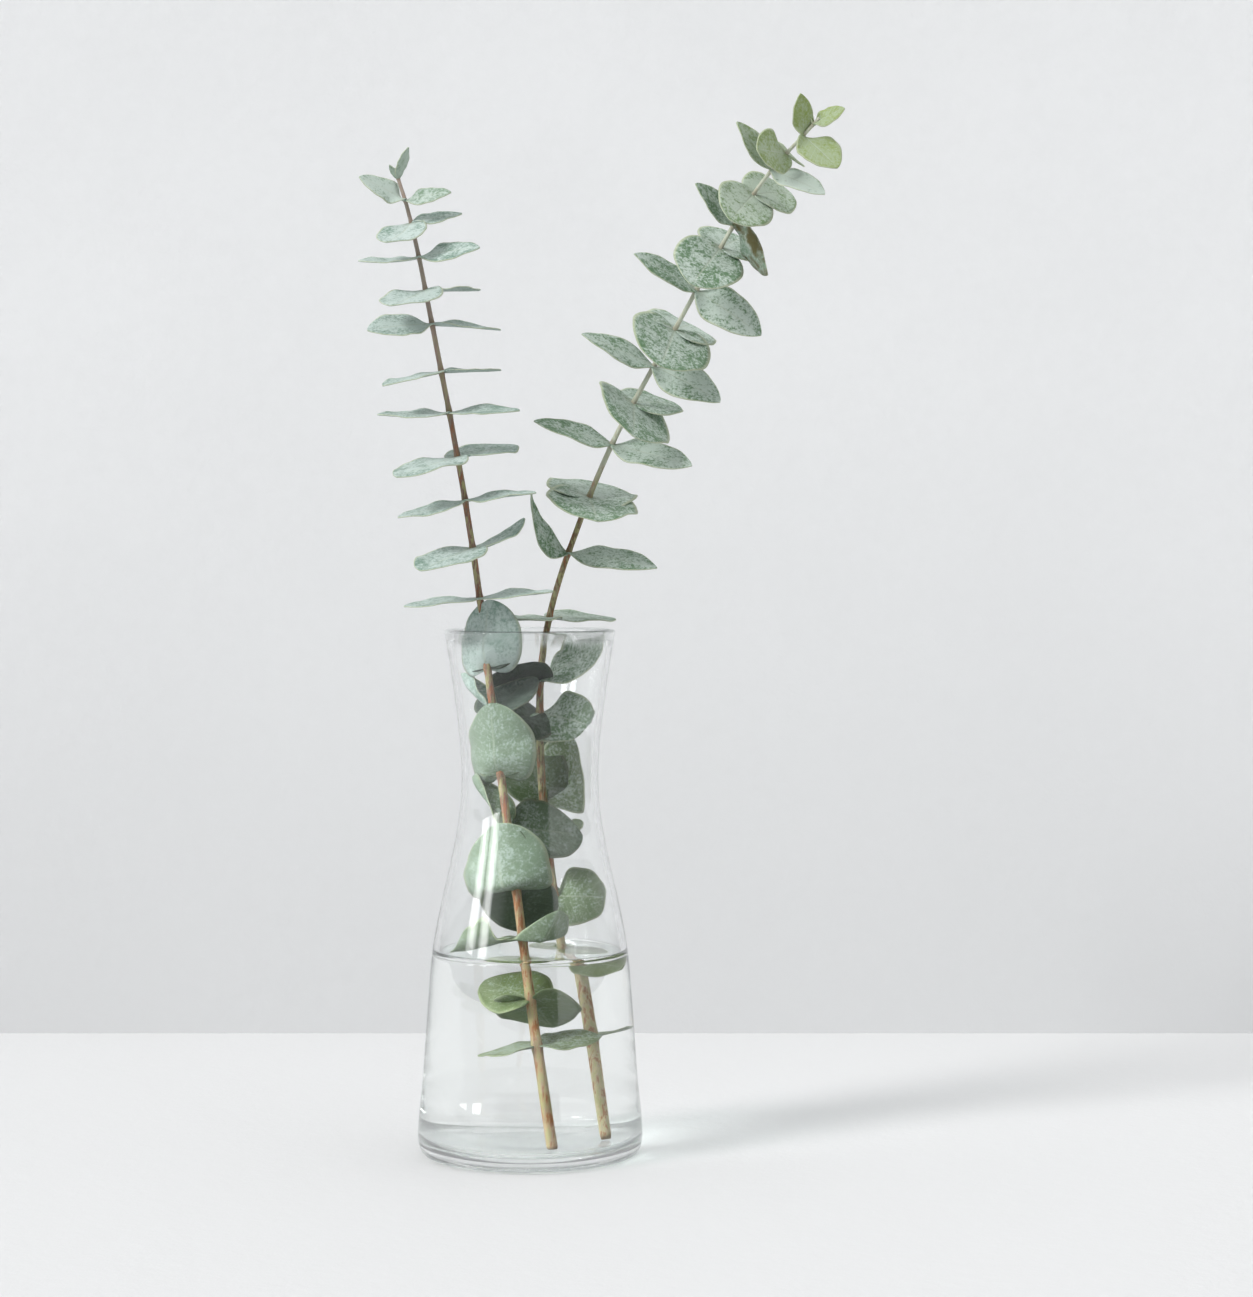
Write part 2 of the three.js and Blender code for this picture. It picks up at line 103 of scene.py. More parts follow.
RIGHT_PAIRS = [
    (348.4, (9.8, 5.8, 11.8, 8, -1, 55), (-1, 4.5, 5.2, 2.4, 1, 0)),
    (344.8, (0, 13.4, 14.5, 8.5, -1, -65), (11.5, -11, 18, 15, -1, 45)),
    (339, (-10, 0, 18, 16, -1, -30), (4, 2, 17, 13, 1, 0)),
    (333.7, (-11.2, 15.7, 20.5, 13.5, -1, -25), (17.9, -7.5, 21, 14, -1, 30)),
    (325.8, (-7.5, -9, 20.5, 21, -1, -3), (14, 3.5, 21, 20, 1, 10)),
    (316, (-11.8, 14, 20.5, 13, -1, -28), (12, -16.5, 23, 14, -1, -50)),
    (308.5, (-9.7, -13, 26, 24.5, -1, 2), (8.5, 6, 22, 23, 1, -5)),
    (294.6, (-20.4, 12.6, 26, 13, -1, -22), (22.2, -14.5, 27.5, 17, -1, 42)),
    (281.6, (-4.6, -13, 26.5, 30, -1, 0), (7, 4.5, 23, 26, 1, -4)),
    (269.4, (-24, 11.2, 28, 14.5, -1, -18), (23.2, -10.6, 27.5, 18, -1, 34)),
    (257, (1, -10.5, 24, 31, -1, -8), (15, 2.5, 24, 23, 1, -6)),
    (243, (-26, 9.2, 28.5, 15, -1, -16), (27.4, -6.7, 29.5, 19, -1, 26)),
    (225, (3.5, -7.5, 24, 32, -1, 14), (3, 7, 24, 32, 1, -11)),
    (206, (-25, 5, 27.5, 11.5, -1, -58, 75), (30.8, -2.5, 32, 19, -1, 23, -8)),
    (183.6, (-13, 0.5, 22, 20, -1, 6), (22.5, 1, 27, 22, 1, 3)),
    (162, (24.5, 16.5, 30, 19, -1, 40), (-15, 3, 20, 20, -1, 35)),
    (151, (18, -2.5, 24, 22, -1, 42), (-17, -2, 23, 25, -1, -30)),
    (119, (19, 17, 29, 26, 1, 42), (-8, 26, 31, 27, 1, 0)),
    (103, (11, 11, 20, 19, -1, 30), (-9, 10, 18, 17, 1, 0)),
    (87, (20, 1.5, 22, 21, -1, 65), (-12, 4, 17, 16, 1, 0)),
    (65, (15, -1, 18, 16, -1, 28), (-10, 2, 17, 16, 1, 0)),
    (40.5, (-14, -2, 17, 15, 1, 0), (9, 2, 12, 12, 1, 8)),
]

BRANCHES = (("left", LEFT_LINE, LEFT_PAIRS), ("right", RIGHT_LINE, RIGHT_PAIRS))

# Rules that the leaves follow, in millimetres and degrees
STATIONS = (0, 0.08, 0.23, 0.45, 0.68, 0.87, 1)  # along the midrib, base to tip
BASE_HALF = 0.6  # least half width near the base
TIP_HALF = 0.3  # least half width near the tip
FINE_TIP = 0.04  # the same for the finished blade
BASE_SHARE = 0.3  # part of the finished blade that counts as its base
CUP = 2.5  # turn of each half upwards
CUP_SPREAD = (0.5, 1.5)  # least and most part of it
SAG = -5  # turn of the tip downwards
SAG_SPREAD = (0.4, 1.6)  # least and most part of it
WAVE = 0.035  # wave of the edges, in radians
WAVES = 7  # how often it comes along the blade
ROLL_REACH = 0.2  # part of the length over which the twist builds up
BROAD = (0.85, 1.2)  # width to length where a leaf starts and ends to be broad
LOBE = 55  # backward sweep of a broad leaf's base
LOBE_REACH = 0.35  # part of the length that it takes up
WIDEST = (0.85, 0.66)  # where a narrow and a broad leaf are widest, as a power
BLUNT = 0.5  # roundness of the base
POINT = (0.58, 0.55, 0.07)  # sharpness of the tip, its loss with width and its least value
SHORT_STEP = 0.6  # a step that is cut below this part of its length turns up
TURN_UP = 0.8  # by this part of the step
DRY_MARGIN = 1.1  # left to the glass above the water
WET_MARGIN = 2.6  # left to the glass in the water
SPLASH = (74, 92)  # heights between which the one becomes the other
SPARE = 0.45  # how much of those margins the finished edge may use
PARTING = {"left": -4.2, "right": -2}  # how far back or forward the leaves of each stem may reach
EDGE_RIPPLE = (0.018, 9, 2.2)  # height to width, how often, and shift between the halves
FINE_RIPPLE = (0.10, 23, 3)  # height, how often and shift
RIPPLE_START = 6.28  # most that chance shifts them, in radians
FOLD = (0.010, 0.12)  # depth to width and breadth of the fold along the midrib
INSET = (0.2, 0.25)  # parts at the base and the tip that stay free of ripples
EDGE_THICKNESS = 0.45  # part of the thickness that is left at the edge
RIB = (0.32, 0.55)  # height and breadth of the midrib below the blade
RIB_HALF = 0.3  # least half width for that

# Seeds of the leaves
SEED = (12.9898, 43758.5453)
PAIR_SEED = 7
LEAF_SEED = 3
RIGHT_SEED = 300

# Rules for the colour of each leaf, by the height of its pair
AGE = {"left": (0.4, 5), "right": (1.3, 4)}  # youth of the first pair, and pairs over which it is lost
# Wax of the leaves, partly the bloom's own and partly painted light and shade: the first leaf of each
# left pair gets more, painting the light on leaves that point left, and leaves inside the vase get less,
# painting the shade in the glass
WAX_AND_PAINTED_LIGHT = {
    "left": (0.76, 0.57),
    "right": (0.53, 0.68),
    "inside": (0.16, 0.62),
    "wet": -0.2,
    "lowest": 0.5,
}
WAX_SPREAD = 0.25  # chance part of the wax
NECK = (135, 165)  # heights between which the wax inside the vase builds up; below them the thinner wax is partly real and partly painted shade in the glass
LOWEST = (42, 54)  # heights between which the lowest leaves pale
CROWDED = (85, 170)  # heights between which the second leaf of a pair is shaded
INNER_SHADE = (0.62, 0.94)  # that shade below and above the neck
OLIVE = (0.42, 0.82)  # painted shade and tint of the leaves inside the vase, stronger in the water
OLIVE_RISE = (135, 155)  # heights between which the painted tint fades out
SOAK = 12  # height above the water over which leaves count as partly wet
DRY_LEAF = ("right", 5, 1)  # side, pair and leaf that has dried
PALE_LEAF = ("right", 3, 1)  # side, pair and leaf that is palest
PALE_WAX = 0.5  # its extra wax
LEAF_TINTS = {
    # this colour and the olive one below paint shade and tint on the leaves inside the vase
    "shaded_deep": (0.15, 0.195, 0.065),
    "rib": (0.54, 0.60, 0.49),
    "rim": (0.62, 0.66, 0.47),
    # painted shade at the base of each leaf, next to the stem
    "base_shade": (0.17, 0.20, 0.10),
    "underside": (0.33, 0.41, 0.39),
    "spot": (0.16, 0.13, 0.08),
    "dry": (0.13, 0.115, 0.05),
    "olive": (0.17, 0.215, 0.075),
    "shade": (0.010, 0.018, 0.008),
    "through": (0.30, 0.40, 0.16),
}

# Rules that the stems follow
STEM_SIDES = 24
STEM_RINGS = 420
STEM_TAPER = 0.8  # power by which a stem thins
NODE_REACH = 0.0042  # half length of a swelling, as part of the stem
SWELLING_LOSS = 0.6  # part of the swelling that is gone at the tip
BARK_WAVES = ((0.035, 3, 40), (0.025, 5, -95))  # height, ridges round and turns along
CUT_BEVEL = (0.82, 0.004)  # radius of the cut end, and length over which it widens
STEM_LIGHT = {"left": (0.40, 0.29, 0.23), "right": (0.44, 0.38, 0.26)}  # pale lines of the bark
STEM_TURN = {"left": (225, 300), "right": (212, 246)}  # heights between which bark turns young
STEM_TINTS = {
    "green": (0.42, 0.41, 0.19),
    "red": (0.33, 0.12, 0.04),
    "node": (0.21, 0.15, 0.09),
    "cut": (0.16, 0.09, 0.045),
}

# Rules that the glass and the water follow
SPACING = 2.0  # of the points along a profile
WALL_RADIUS = 30  # beyond this the inside counts as wall
MENISCUS_FALL = 1.4  # distance over which the raised edge falls
STEM_CLIMB = (0.9, 1.6, 0.9)  # rise at a stem, its radius there, and the fall around it
WATER_SHADOW = (0.965, 0.975, 0.97)
GLASS_RIPPLE = 0.03
WATER_RIPPLE = 0.015
RIM_BAND = (0.174, 0.178)  # heights in metres where the rim starts
HEEL_BAND = (0.001, 0.005)  # heights in metres where the heel ends
HEEL_SHARE = 0.7

# Stage, in metres
AIM = (0, 0, 0.12)  # what the lights point at
FLOOR_LEVEL = -0.0003
STAGE_REACH = 4.0
FLOOR_GREY = (0.70, 0.70, 0.70)
FRONT_GREY = (0.04, 0.04, 0.04)  # of the floor in front, as mirrored in the glass
WALL_GREY = (0.80, 0.805, 0.81)
WALL_FOOT = 0.82  # part of that colour at the foot of the wall, as painted shade
KEY_PLACE = (-3.24, -2.43, 3.06)
KEY_ANGLE = 17
WINDOW_PLACES = ((-4.10, -2.56, 1.39), (-4.69, -1.17, 1.39))
WINDOW_SIZE = (0.9, 1.6)
BOUNCES = 32  # of light in the glass and the water
SENSOR = 36  # width of the film in millimetres


# Sizes and colours that can be changed
class VaseSettings(PropertyGroup):
    sides: IntProperty(name="Sides", description="Faces round the vase", default=144, min=24)
    tint: FloatVectorProperty(
        name="Tint", description="Colour of the glass", subtype="COLOR", default=(0.990, 0.998, 0.996),
        min=0, max=1)
    shade: FloatVectorProperty(
        name="Shade", description="Light that the glass lets through to what is behind it",
        subtype="COLOR", default=(0.80, 0.825, 0.82), min=0, max=1)
    ior: FloatProperty(name="Index", description="Refractive index of the glass", default=1.5)
    thin: FloatProperty(
        name="Thin", description="Part of the light that passes straight through the rim and the heel",
        default=0.5, min=0, max=1)


class WaterSettings(PropertyGroup):
    level: FloatProperty(
        name="Level", description="Height of the water", default=70 * MM, unit="LENGTH")
    meniscus: FloatProperty(
        name="Meniscus", description="Rise of the water at the glass", default=0.5 * MM, unit="LENGTH")
    overlap: FloatProperty(
        name="Overlap", description="How far the water reaches into the glass, so no air lies between",
        default=0.3 * MM, unit="LENGTH")
    tint: FloatVectorProperty(
        name="Tint", description="Colour of the water", subtype="COLOR", default=(0.992, 0.997, 0.993),
        min=0, max=1)
    ior: FloatProperty(name="Index", description="Refractive index of the water", default=1.333)


class StemSettings(PropertyGroup):
    cut_radius: FloatProperty(
        name="Cut radius", description="Radius at the cut end", default=1.75 * MM, unit="LENGTH")
    tip_radius: FloatProperty(
        name="Tip radius", description="Radius at the tip", default=0.55 * MM, unit="LENGTH")
    swelling: FloatProperty(
        name="Swelling", description="Extra radius at a pair of leaves", default=0.28 * MM, unit="LENGTH")
    left_wet: FloatVectorProperty(
        name="Left wet", description="Left stem in the water", subtype="COLOR",
        default=(0.50, 0.36, 0.20), min=0, max=1)
    left_bark: FloatVectorProperty(
        name="Left bark", description="Left stem above the water", subtype="COLOR",
        default=(0.22, 0.13, 0.10), min=0, max=1)
    left_tip: FloatVectorProperty(
        name="Left tip", description="Left stem near its tip", subtype="COLOR",
        default=(0.36, 0.29, 0.25), min=0, max=1)
    right_wet: FloatVectorProperty(
        name="Right wet", description="Right stem in the water", subtype="COLOR",
        default=(0.54, 0.46, 0.26), min=0, max=1)
    right_bark: FloatVectorProperty(
        name="Right bark", description="Right stem above the water", subtype="COLOR",
        default=(0.18, 0.13, 0.072), min=0, max=1)
    right_tip: FloatVectorProperty(
        name="Right tip", description="Right stem near its tip", subtype="COLOR",
        default=(0.56, 0.59, 0.48), min=0, max=1)


class LeafSettings(PropertyGroup):
    thickness: FloatProperty(
        name="Thickness", description="Thickness of a blade", default=0.6 * MM, unit="LENGTH")
    rows: IntProperty(name="Rows", description="Faces along a blade", default=26, min=6)
    columns: IntProperty(name="Columns", description="Faces across a blade", default=14, min=4)
    left_deep: FloatVectorProperty(
        name="Left deep", description="Left leaves where the wax is thin", subtype="COLOR",
        default=(0.20, 0.315, 0.25), min=0, max=1)
    left_pale: FloatVectorProperty(
        name="Left pale", description="Left leaves where the wax is thick", subtype="COLOR",
        default=(0.62, 0.715, 0.675), min=0, max=1)
    right_deep: FloatVectorProperty(
        name="Right deep", description="Right leaves where the wax is thin", subtype="COLOR",
        default=(0.13, 0.24, 0.125), min=0, max=1)
    right_pale: FloatVectorProperty(
        name="Right pale", description="Right leaves where the wax is thick", subtype="COLOR",
        default=(0.62, 0.71, 0.64), min=0, max=1)
    young: FloatVectorProperty(
        name="Young", description="Youngest leaves", subtype="COLOR", default=(0.29, 0.37, 0.11),
        min=0, max=1)


class StageSettings(PropertyGroup):
    eye: FloatVectorProperty(
        name="Eye", description="Place of the camera", subtype="TRANSLATION",
        default=(0.033, -1.092, 0.210))
    pitch: FloatProperty(
        name="Pitch", description="Angle of the camera below the horizon", subtype="ANGLE",
        default=math.radians(1.92))
    lens: FloatProperty(name="Lens", description="Focal length in millimetres", default=88.82)
    wall: FloatProperty(
        name="Wall", description="Distance of the wall behind the vase", default=0.27, unit="LENGTH")
    sky: FloatProperty(name="Sky", description="Strength of the light from all round", default=0.65)
    dim: FloatProperty(
        name="Dim", description="Part of that light that is missing from the front", default=0.95)
    top: FloatProperty(name="Top", description="Extra light from above", default=0.5)
    veil: FloatProperty(name="Veil", description="Extra light from the right of the front", default=0.3)
    key: FloatProperty(name="Key", description="Strength of the main light", default=2.15)
    window: FloatProperty(name="Window", description="Power of each window pane", default=30.0)


# Small vector helpers
def unit(v):
    """The direction of a vector."""
    return v / np.linalg.norm(v)


def across(direction, axis):
    """The part of a direction that is square to an axis."""
    return unit(direction - axis * np.dot(direction, axis))


def turned(v, axis, angle):
    """A vector turned about an axis."""
    k = unit(axis)
    c = math.cos(angle)
    return v * c + np.cross(k, v) * math.sin(angle) + k * np.dot(k, v) * (1 - c)


def chance(n):
    """A number from 0 to 1 that is the same each run."""
    s = math.sin(n * SEED[0]) * SEED[1]
    return s - math.floor(s)


def smooth_curve(xs, ys, at):
    """Values of ys, given at xs, at the places at, on a smooth curve through them."""
    xs = np.asarray(xs, float)
    ys = np.asarray(ys, float)
    slopes = np.gradient(ys, xs, axis=0)
    at = np.clip(np.asarray(at, float), xs[0], xs[-1])
    i = np.clip(np.searchsorted(xs, at, side="right") - 1, 0, len(xs) - 2)
    h = xs[i + 1] - xs[i]
    w = (at - xs[i]) / h
    if ys.ndim > 1:
        h = h[:, None]
        w = w[:, None]
    first = (2 * w**3 - 3 * w**2 + 1) * ys[i] + (w**3 - 2 * w**2 + w) * h * slopes[i]
    return first + (3 * w**2 - 2 * w**3) * ys[i + 1] + (w**3 - w**2) * h * slopes[i + 1]


class Line:
    """A smooth centre-line, with t from 0 at the cut end to 1 at the tip."""

    def __init__(self, points):
        p = np.array(points, float)
        self.spans = len(p) - 1
        self.points = np.vstack([2 * p[0] - p[1], p, 2 * p[-1] - p[-2]])

    def at(self, t):
        x = min(max(t, 0), 1) * self.spans
        i = min(int(x), self.spans - 1)
        w = x - i
        a, b, c, d = self.points[i:i + 4]
        first = (2 * w**3 - 3 * w**2 + 1) * b + (w**3 - 2 * w**2 + w) * (c - a) / 2
        return first + (3 * w**2 - 2 * w**3) * c + (w**3 - w**2) * (d - b) / 2

    def tangent(self, t):
        return unit(self.at(min(t + 1e-4, 1)) - self.at(max(t - 1e-4, 0)))

    def reach(self, height):
        """The place where the line reaches a height."""
        low, high = 0.0, 1.0
        for _ in range(40):
            middle = (low + high) / 2
            if self.at(middle)[2] < height:
                low = middle
            else:
                high = middle
        return low


# Leaf surfaces
def inside_radius(z):
    """Radius of the inner wall at a height."""
    wall = INSIDE[WALL_POINTS - 1::-1]
    return float(np.interp(z, [p[1] for p in wall], [p[0] for p in wall]))


def kept(point, side, spare=0.0):
    """A point of a blade that grows inside the vase, moved clear of the glass and of the other stem."""
    if not side:
        return point
    p = np.array(point, float)
    share = (min(max(p[2], SPLASH[0]), SPLASH[1]) - SPLASH[0]) / (SPLASH[1] - SPLASH[0])
    margin = WET_MARGIN + (DRY_MARGIN - WET_MARGIN) * share - spare
    for _ in range(3):
        most = inside_radius(min(p[2], MOUTH_HEIGHT)) - margin
        r = math.hypot(p[0], p[1])
        if r > most:
            p[:2] *= most / r
        if side == "left":
            p[1] = min(p[1], PARTING["left"] + spare)
        else:
            p[1] = max(p[1], PARTING["right"] - spare)
    return p


def step(start, direction, length, side):
    """One step along a blade, bent along whatever it would run into."""
    way = kept(start + direction * length, side) - start
    if np.linalg.norm(way) < SHORT_STEP * length:
        way[2] += TURN_UP * length
    return kept(start + unit(way) * length, side)


def broadness(length, width):
    """0 for a narrow leaf to 1 for a broad one, which clasps the stem with two lobes."""
    return min(1.0, max(0.0, (width / length - BROAD[0]) / (BROAD[1] - BROAD[0])))


def half_width(u, length, width):
    """Half the width of a leaf at a part of its length: a blunt base, and a tip the rounder the wider."""
    pointed = max(POINT[2], POINT[0] - POINT[1] * width / length)
    power = WIDEST[0] + (WIDEST[1] - WIDEST[0]) * broadness(length, width)
    return width / 2 * max(0.0, math.sin(math.pi * u**power)) ** (BLUNT + pointed * u)


def leaf_frame(line, side, height, leaf, seed):
    """The midrib of a leaf and the directions of its two edges, at each station."""
    right, up, length, width, depth, twist = leaf[:6]
    t = line.reach(height)
    axis = line.tangent(t)
    back = depth * math.sqrt(max(0.01, length**2 - right**2 - up**2))
    along = unit(np.array((right, back, up), float))
    face = across(axis, along)
    sideways = np.cross(face, along)
    phase = chance(seed) * 2 * math.pi
    cup = CUP * (CUP_SPREAD[0] + (CUP_SPREAD[1] - CUP_SPREAD[0]) * chance(seed + 1))
    droop = SAG * (SAG_SPREAD[0] + (SAG_SPREAD[1] - SAG_SPREAD[0]) * chance(seed + 2))
    sag = leaf[6] if len(leaf) > 6 else droop
    lobe = LOBE * broadness(length, width)
    point = line.at(t)
    midrib = []
    edges = ([], [])
    for i, u in enumerate(STATIONS):
        bend = math.radians(sag * u)
        if i:
            ahead = turned(along, sideways, -bend)
            point = step(point, ahead, (u - STATIONS[i - 1]) * length, side)
        roll = math.radians(twist * min(1, u / ROLL_REACH))
        half = max(half_width(u, length, width), BASE_HALF if u < 0.5 else TIP_HALF)
        lifted = turned(turned(face, sideways, -bend), along, roll)
        midrib.append(point)
        for k, sign in enumerate((-1, 1)):
            turn = math.radians(cup) + WAVE * math.sin(WAVES * u + sign + phase)
            out = turned(sideways * sign, along, roll)
            swept = math.tan(math.radians(lobe * max(0, 1 - u / LOBE_REACH)))
            direction = unit(out * math.cos(turn) + lifted * math.sin(turn) - along * swept)
            edges[k].append((step(point, direction, half, side) - point) / half)
    return midrib, edges


def blade(line, side, height, leaf, seed, settings):
    """Points, faces and leaf coordinates of one finished leaf, in millimetres."""
    length, width = leaf[2], leaf[3]
    inner = side if height < RIM_HEIGHT else None
    midrib, edges = leaf_frame(line, inner, height, leaf, seed)
    rows = settings.rows
    columns = settings.columns
    us = 0.5 - 0.5 * np.cos(np.pi * np.linspace(0, 1, rows + 1))
    vs = np.linspace(-1, 1, columns + 1)
    middle = smooth_curve(STATIONS, midrib, us)
    left = smooth_curve(STATIONS, edges[0], us)
    right = smooth_curve(STATIONS, edges[1], us)
    phase = chance(seed + 5) * RIPPLE_START
    grid = np.zeros((rows + 1, columns + 1, 3))
    for i, u in enumerate(us):
        half = max(half_width(u, length, width), BASE_HALF if u < BASE_SHARE else FINE_TIP)
        a = left[i] * half
        b = right[i] * half
        for j, v in enumerate(vs):
            grid[i, j] = middle[i] + v * (b - a) / 2 + v * v * (a + b) / 2
    ahead = np.gradient(grid, axis=0)
    beside = np.gradient(grid, axis=1)
    normal = np.cross(ahead, beside)
    normal /= np.maximum(np.linalg.norm(normal, axis=2, keepdims=True), 1e-9)
    u = us[:, None]
    v = vs[None, :]
    inset = np.minimum(1, u / INSET[0]) * np.minimum(1, (1 - u) / INSET[1])
    high, often, shift = EDGE_RIPPLE
    ripple = high * width * np.sin(often * u + shift * np.sign(v) + phase) * v**2 * inset
    high, often, shift = FINE_RIPPLE
    ripple = ripple + high * np.sin(often * u + shift * phase) * np.abs(v) ** 3 * inset
    fold = FOLD[0] * width * np.exp(-((v / FOLD[1]) ** 2)) * inset
    grid = grid + normal * (ripple - fold)[:, :, None]
    if inner:
        grid = np.array([[kept(p, inner, SPARE) for p in row] for row in grid])
    thick = settings.thickness / MM / 2
    crown = np.sqrt(np.maximum(0, 1 - v**2))
    body = thick * (EDGE_THICKNESS + (1 - EDGE_THICKNESS) * crown) * np.ones_like(u)
    halves = np.array([max(RIB_HALF, half_width(x, length, width)) for x in us])[:, None]
    rib = RIB[0] * np.exp(-((v * halves / RIB[1]) ** 2)) * (1 - u) ** 0.5
    top = grid + normal * body[:, :, None]
    low = grid - normal * (body + rib)[:, :, None]
    count = (rows + 1) * (columns + 1)
    points = np.vstack([top.reshape(-1, 3), low.reshape(-1, 3)])
    index = np.arange(count).reshape(rows + 1, columns + 1)
    quads = np.stack([index[:-1, :-1], index[1:, :-1], index[1:, 1:], index[:-1, 1:]], -1).reshape(-1, 4)
    rim = np.concatenate([index[0, :], index[1:, -1], index[-1, -2::-1], index[-2:0:-1, 0]])
    ahead_rim = np.roll(rim, -1)
    sides = np.stack([rim, ahead_rim, ahead_rim + count, rim + count], -1)
    faces = np.vstack([quads, quads[:, ::-1] + count, sides])
    flat = np.stack([np.repeat(us, columns + 1), np.tile(vs, rows + 1)], -1)
    coords = np.vstack([np.c_[flat, np.zeros(count)], np.c_[flat, np.ones(count)]])
    return points, faces, coords


# Meshes and materials
def new_mesh(name, points, faces, attributes, material, node):
    """A smooth closed piece that stands for a node of the frame."""
    mesh = bpy.data.meshes.new(name)
    mesh.from_pydata((np.asarray(points) * MM).tolist(), [], [list(f) for f in faces])
    for key, values in attributes.items():
        layer = mesh.attributes.new(key, "FLOAT_VECTOR", "POINT")
        layer.data.foreach_set("vector", np.asarray(values, np.float32).ravel())
    mesh.polygons.foreach_set("use_smooth", [True] * len(mesh.polygons))
    mesh.update()
    if mesh.validate():
        raise RuntimeError(name + " has faces that can't be used")
    mesh.materials.append(material)
    piece = bpy.data.objects.new(name, mesh)
    bpy.context.scene.collection.objects.link(piece)
    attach(piece, "root")
    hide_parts(node)


def lathe(profile, sides):
    """Points and faces of a profile turned about Z; it starts and ends on the axis."""
    points = [(0.0, 0.0, profile[0][1])]
    angles = np.linspace(0, 2 * math.pi, sides, endpoint=False)
    for r, z in profile[1:-1]:
        for a in angles:
            points.append((r * math.cos(a), r * math.sin(a), z))
    points.append((0.0, 0.0, profile[-1][1]))
    rings = len(profile) - 2
    faces = []
    for k in range(sides):
        n = (k + 1) % sides
        faces.append((0, 1 + n, 1 + k))
        for i in range(rings - 1):
            a = 1 + i * sides
            b = a + sides
            faces.append((a + k, a + n, b + n, b + k))
        last = 1 + (rings - 1) * sides
        faces.append((last + k, last + n, len(points) - 1))
    return np.array(points), faces


def fine_profile(points, spacing):
    """A profile with points added on a smooth curve through the ones given."""
    p = np.array(points, float)
    way = np.concatenate([[0], np.cumsum(np.linalg.norm(np.diff(p, axis=0), axis=1))])
    at = []
    for i in range(len(p) - 1):
        parts = max(3, int((way[i + 1] - way[i]) / spacing))
        at.extend(np.linspace(way[i], way[i + 1], parts, endpoint=False))
    at.append(way[-1])
    fine = smooth_curve(way, p, at)
    fine[:, 0] = np.maximum(fine[:, 0], 0)
    return fine


class Wire:
    """A shader socket that takes part in sums, so that a material reads as its formula."""

    def __init__(self, tree, socket=None):
        self.tree = tree
        self.socket = socket

    def node(self, kind, settings=None, inputs=None, output=0):
        """Any node: its type, its settings, the values or links of its sockets, and the output used."""
        made = self.tree.nodes.new(kind)
        for key, value in (settings or {}).items():
            setattr(made, key, value)
        for key, value in (inputs or {}).items():
            if isinstance(value, Wire):
                self.tree.links.new(value.socket, made.inputs[key])
            elif hasattr(made.inputs[key].default_value, "__len__") and len(value) == 3:
                four = len(made.inputs[key].default_value) == 4
                made.inputs[key].default_value = (*value, 1) if four else tuple(value)
            else:
                made.inputs[key].default_value = value
        return Wire(self.tree, made.outputs[output])

    def sum(self, operation, *values):
        """A Math node on values and wires."""
        return self.node("ShaderNodeMath", {"operation": operation}, dict(enumerate(values)))

    def __add__(self, other):
        return self.sum("ADD", self, other)

    __radd__ = __add__

    def __mul__(self, other):
        return self.sum("MULTIPLY", self, other)

    __rmul__ = __mul__

    def __sub__(self, other):
        return self.sum("SUBTRACT", self, other)

    def __rsub__(self, other):
        return self.sum("SUBTRACT", other, self)

    def __truediv__(self, other):
        return self.sum("DIVIDE", self, other)

    def __rtruediv__(self, other):
        return self.sum("DIVIDE", other, self)

    def __pow__(self, other):
        return self.sum("POWER", self, other)

    def __rpow__(self, other):
        return self.sum("POWER", other, self)

    def __abs__(self):
        return self.sum("ABSOLUTE", self)

    def ramp(self, low, high):
        """0 to 1 as the value goes from low to high, eased at both ends."""
        settings = {"interpolation_type": "SMOOTHSTEP", "clamp": True}
        inputs = {"Value": self, "From Min": low, "From Max": high}
        return self.node("ShaderNodeMapRange", settings, inputs)

    def mix(self, first, second):
        """Colour between two, by this value."""
        settings = {"data_type": "RGBA", "blend_type": "MIX", "clamp_factor": True}
        return self.node("ShaderNodeMix", settings, {0: self, 6: first, 7: second}, 2)

    def scaled(self, factor):
        """This vector, times a number or another vector."""
        factor = factor if hasattr(factor, "__len__") else (factor,) * 3
        return self.node("ShaderNodeVectorMath", {"operation": "MULTIPLY"}, {0: self, 1: factor})

    def moved(self, other):
        """This vector plus another."""
        return self.node("ShaderNodeVectorMath", {"operation": "ADD"}, {0: self, 1: other})

    def noise(self, scale, detail, roughness=0.55, distortion=0.0):
        """Cloudy values about 0.5 at the places of this vector."""
        inputs = {"Vector": self, "Scale": scale, "Detail": detail, "Roughness": roughness,
                  "Distortion": distortion}
        return self.node("ShaderNodeTexNoise", None, inputs)

    def parts(self):
        """The three numbers of this vector."""
        return [self.node("ShaderNodeSeparateXYZ", None, {0: self}, k) for k in range(3)]


def new_material(name):
    """A material with an empty node tree, and a wire to start its formula from."""
    material = bpy.data.materials.new(name)
    material.use_nodes = True
    material.node_tree.nodes.clear()
    return material, Wire(material.node_tree)


def set_surface(wire, shader):
    """Make a shader the surface of its material."""
    out = wire.tree.nodes.new("ShaderNodeOutputMaterial")
    wire.tree.links.new(shader.socket, out.inputs["Surface"])


def attribute(wire, name):
    """Three values that a mesh carries at each point."""
    return wire.node("ShaderNodeAttribute", {"attribute_name": name}, None, "Vector")


